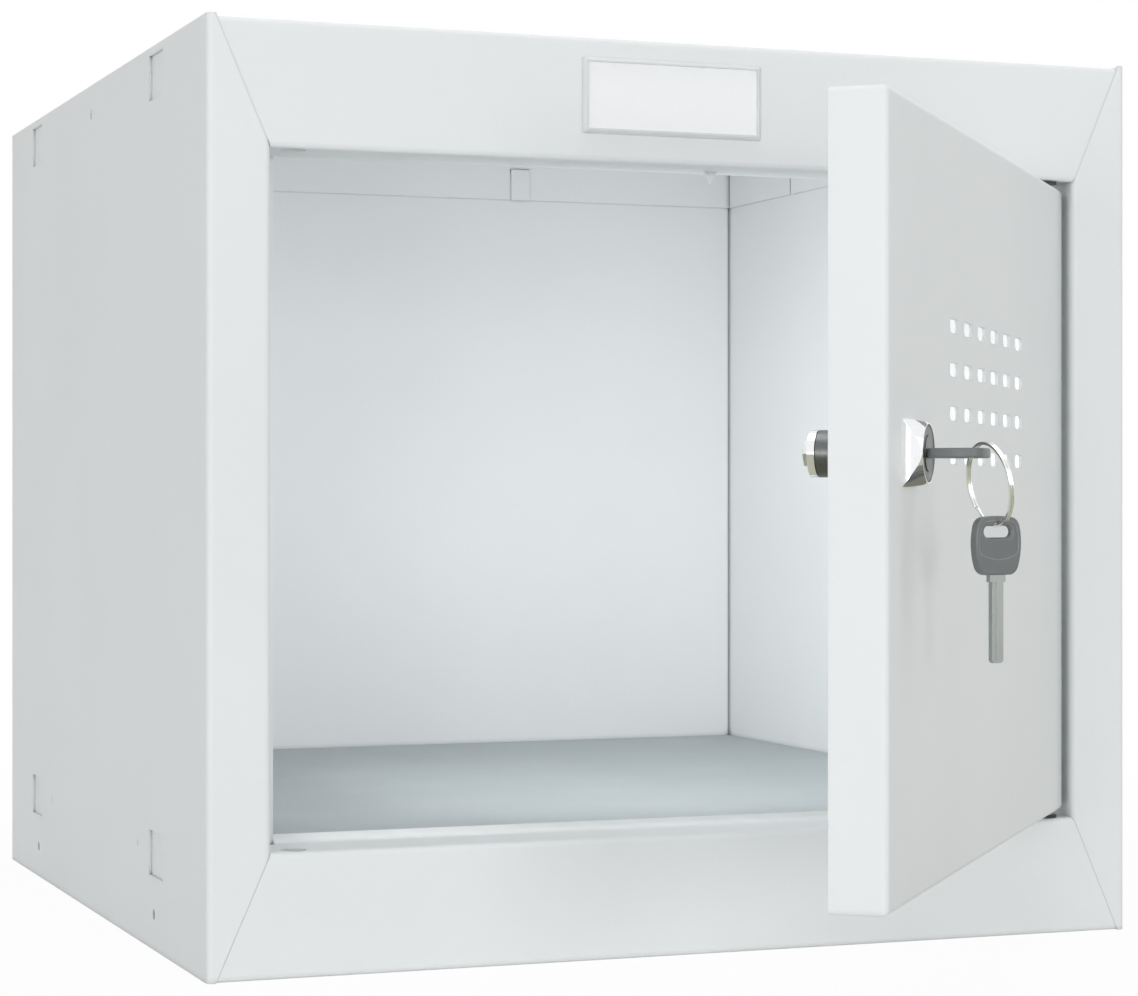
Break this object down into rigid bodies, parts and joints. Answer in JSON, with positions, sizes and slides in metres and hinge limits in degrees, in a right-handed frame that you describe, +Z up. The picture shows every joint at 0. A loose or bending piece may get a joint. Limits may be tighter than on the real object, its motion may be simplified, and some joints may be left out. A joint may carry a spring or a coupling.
{
  "type": "cell phone locker box",
  "caption": "Sheet-steel locker box with an inset vented door on pivot pins, a cam lock with keys on a ring, and a label holder.",
  "frame": {"origin": "centre of the underside of the base panel, on the surface that the box stands on", "axes": "+X to the right seen from the front, +Y from the front to the back, +Z up"},
  "size_m": [0.4, 0.6815, 0.368],
  "materials": {
    "powder_coat": "light grey powder coat with a fine texture",
    "mat_grey": "matt grey rubber liner",
    "holder_grey": "light grey moulded plastic",
    "card_white": "bare white card",
    "bush_nylon": "black nylon",
    "plated_steel": "bright zinc plated steel",
    "chrome": "polished chrome plate",
    "lock_dark": "dark grey satin die casting",
    "key_nickel": "nickel plated key steel",
    "bow_plastic": "dark grey moulded plastic"
  },
  "bodies": {
    "cabinet": {"left_side_panel": "powder_coat", "right_side_panel": "powder_coat", "top_panel": "powder_coat", "base_panel": "powder_coat", "floor_panel": "powder_coat", "floor_mat": "mat_grey", "rear_panel": "powder_coat", "label_holder": "holder_grey", "label_card": "card_white", "upper_pivot_bush": "bush_nylon", "lower_pivot_bush": "bush_nylon"},
    "door": {"door_skin": "powder_coat", "upper_pivot_bracket": "powder_coat", "lower_pivot_bracket": "powder_coat", "upper_pivot_pin": "plated_steel", "lower_pivot_pin": "plated_steel", "lock_body": "lock_dark", "lock_rosette": "chrome", "lock_nut": "plated_steel"},
    "plug": {"lock_plug": "lock_dark", "lock_cam": "chrome", "cam_screw": "plated_steel"},
    "key": {"key_blade": "key_nickel", "key_bow": "bow_plastic"},
    "ring": {"split_ring": "key_nickel"},
    "spare_key": {"spare_key_blade": "key_nickel", "spare_key_bow": "bow_plastic"}
  },
  "joints": [
    {"name": "door_swing", "type": "hinge", "parent": "cabinet", "child": "door", "pos_m": [0.164, -0.199, 0.18], "axis": [0, 0, 1], "range_deg": [-50.6, 54.4]},
    {"name": "key_turn", "type": "hinge", "parent": "door", "child": "plug", "pos_m": [-0.02341, -0.43976, 0.19865], "axis": [0.7727, -0.6347, 0], "range_deg": [0, 180]},
    {"name": "key_withdraw", "type": "slide", "parent": "plug", "child": "key", "axis": [0.7727, -0.6347, 0], "range_m": [0, 0.0323]},
    {"name": "ring_swing", "type": "hinge", "parent": "key", "child": "ring", "pos_m": [-0.00689, -0.45178, 0.19865], "axis": [0.6347, 0.7727, 0], "range_deg": [-20, 3]},
    {"name": "spare_key_swing", "type": "hinge", "parent": "ring", "child": "spare_key", "pos_m": [-0.00296, -0.46048, 0.17528], "axis": [0.007, -1, 0], "range_deg": [-40, 40]}
  ]
}
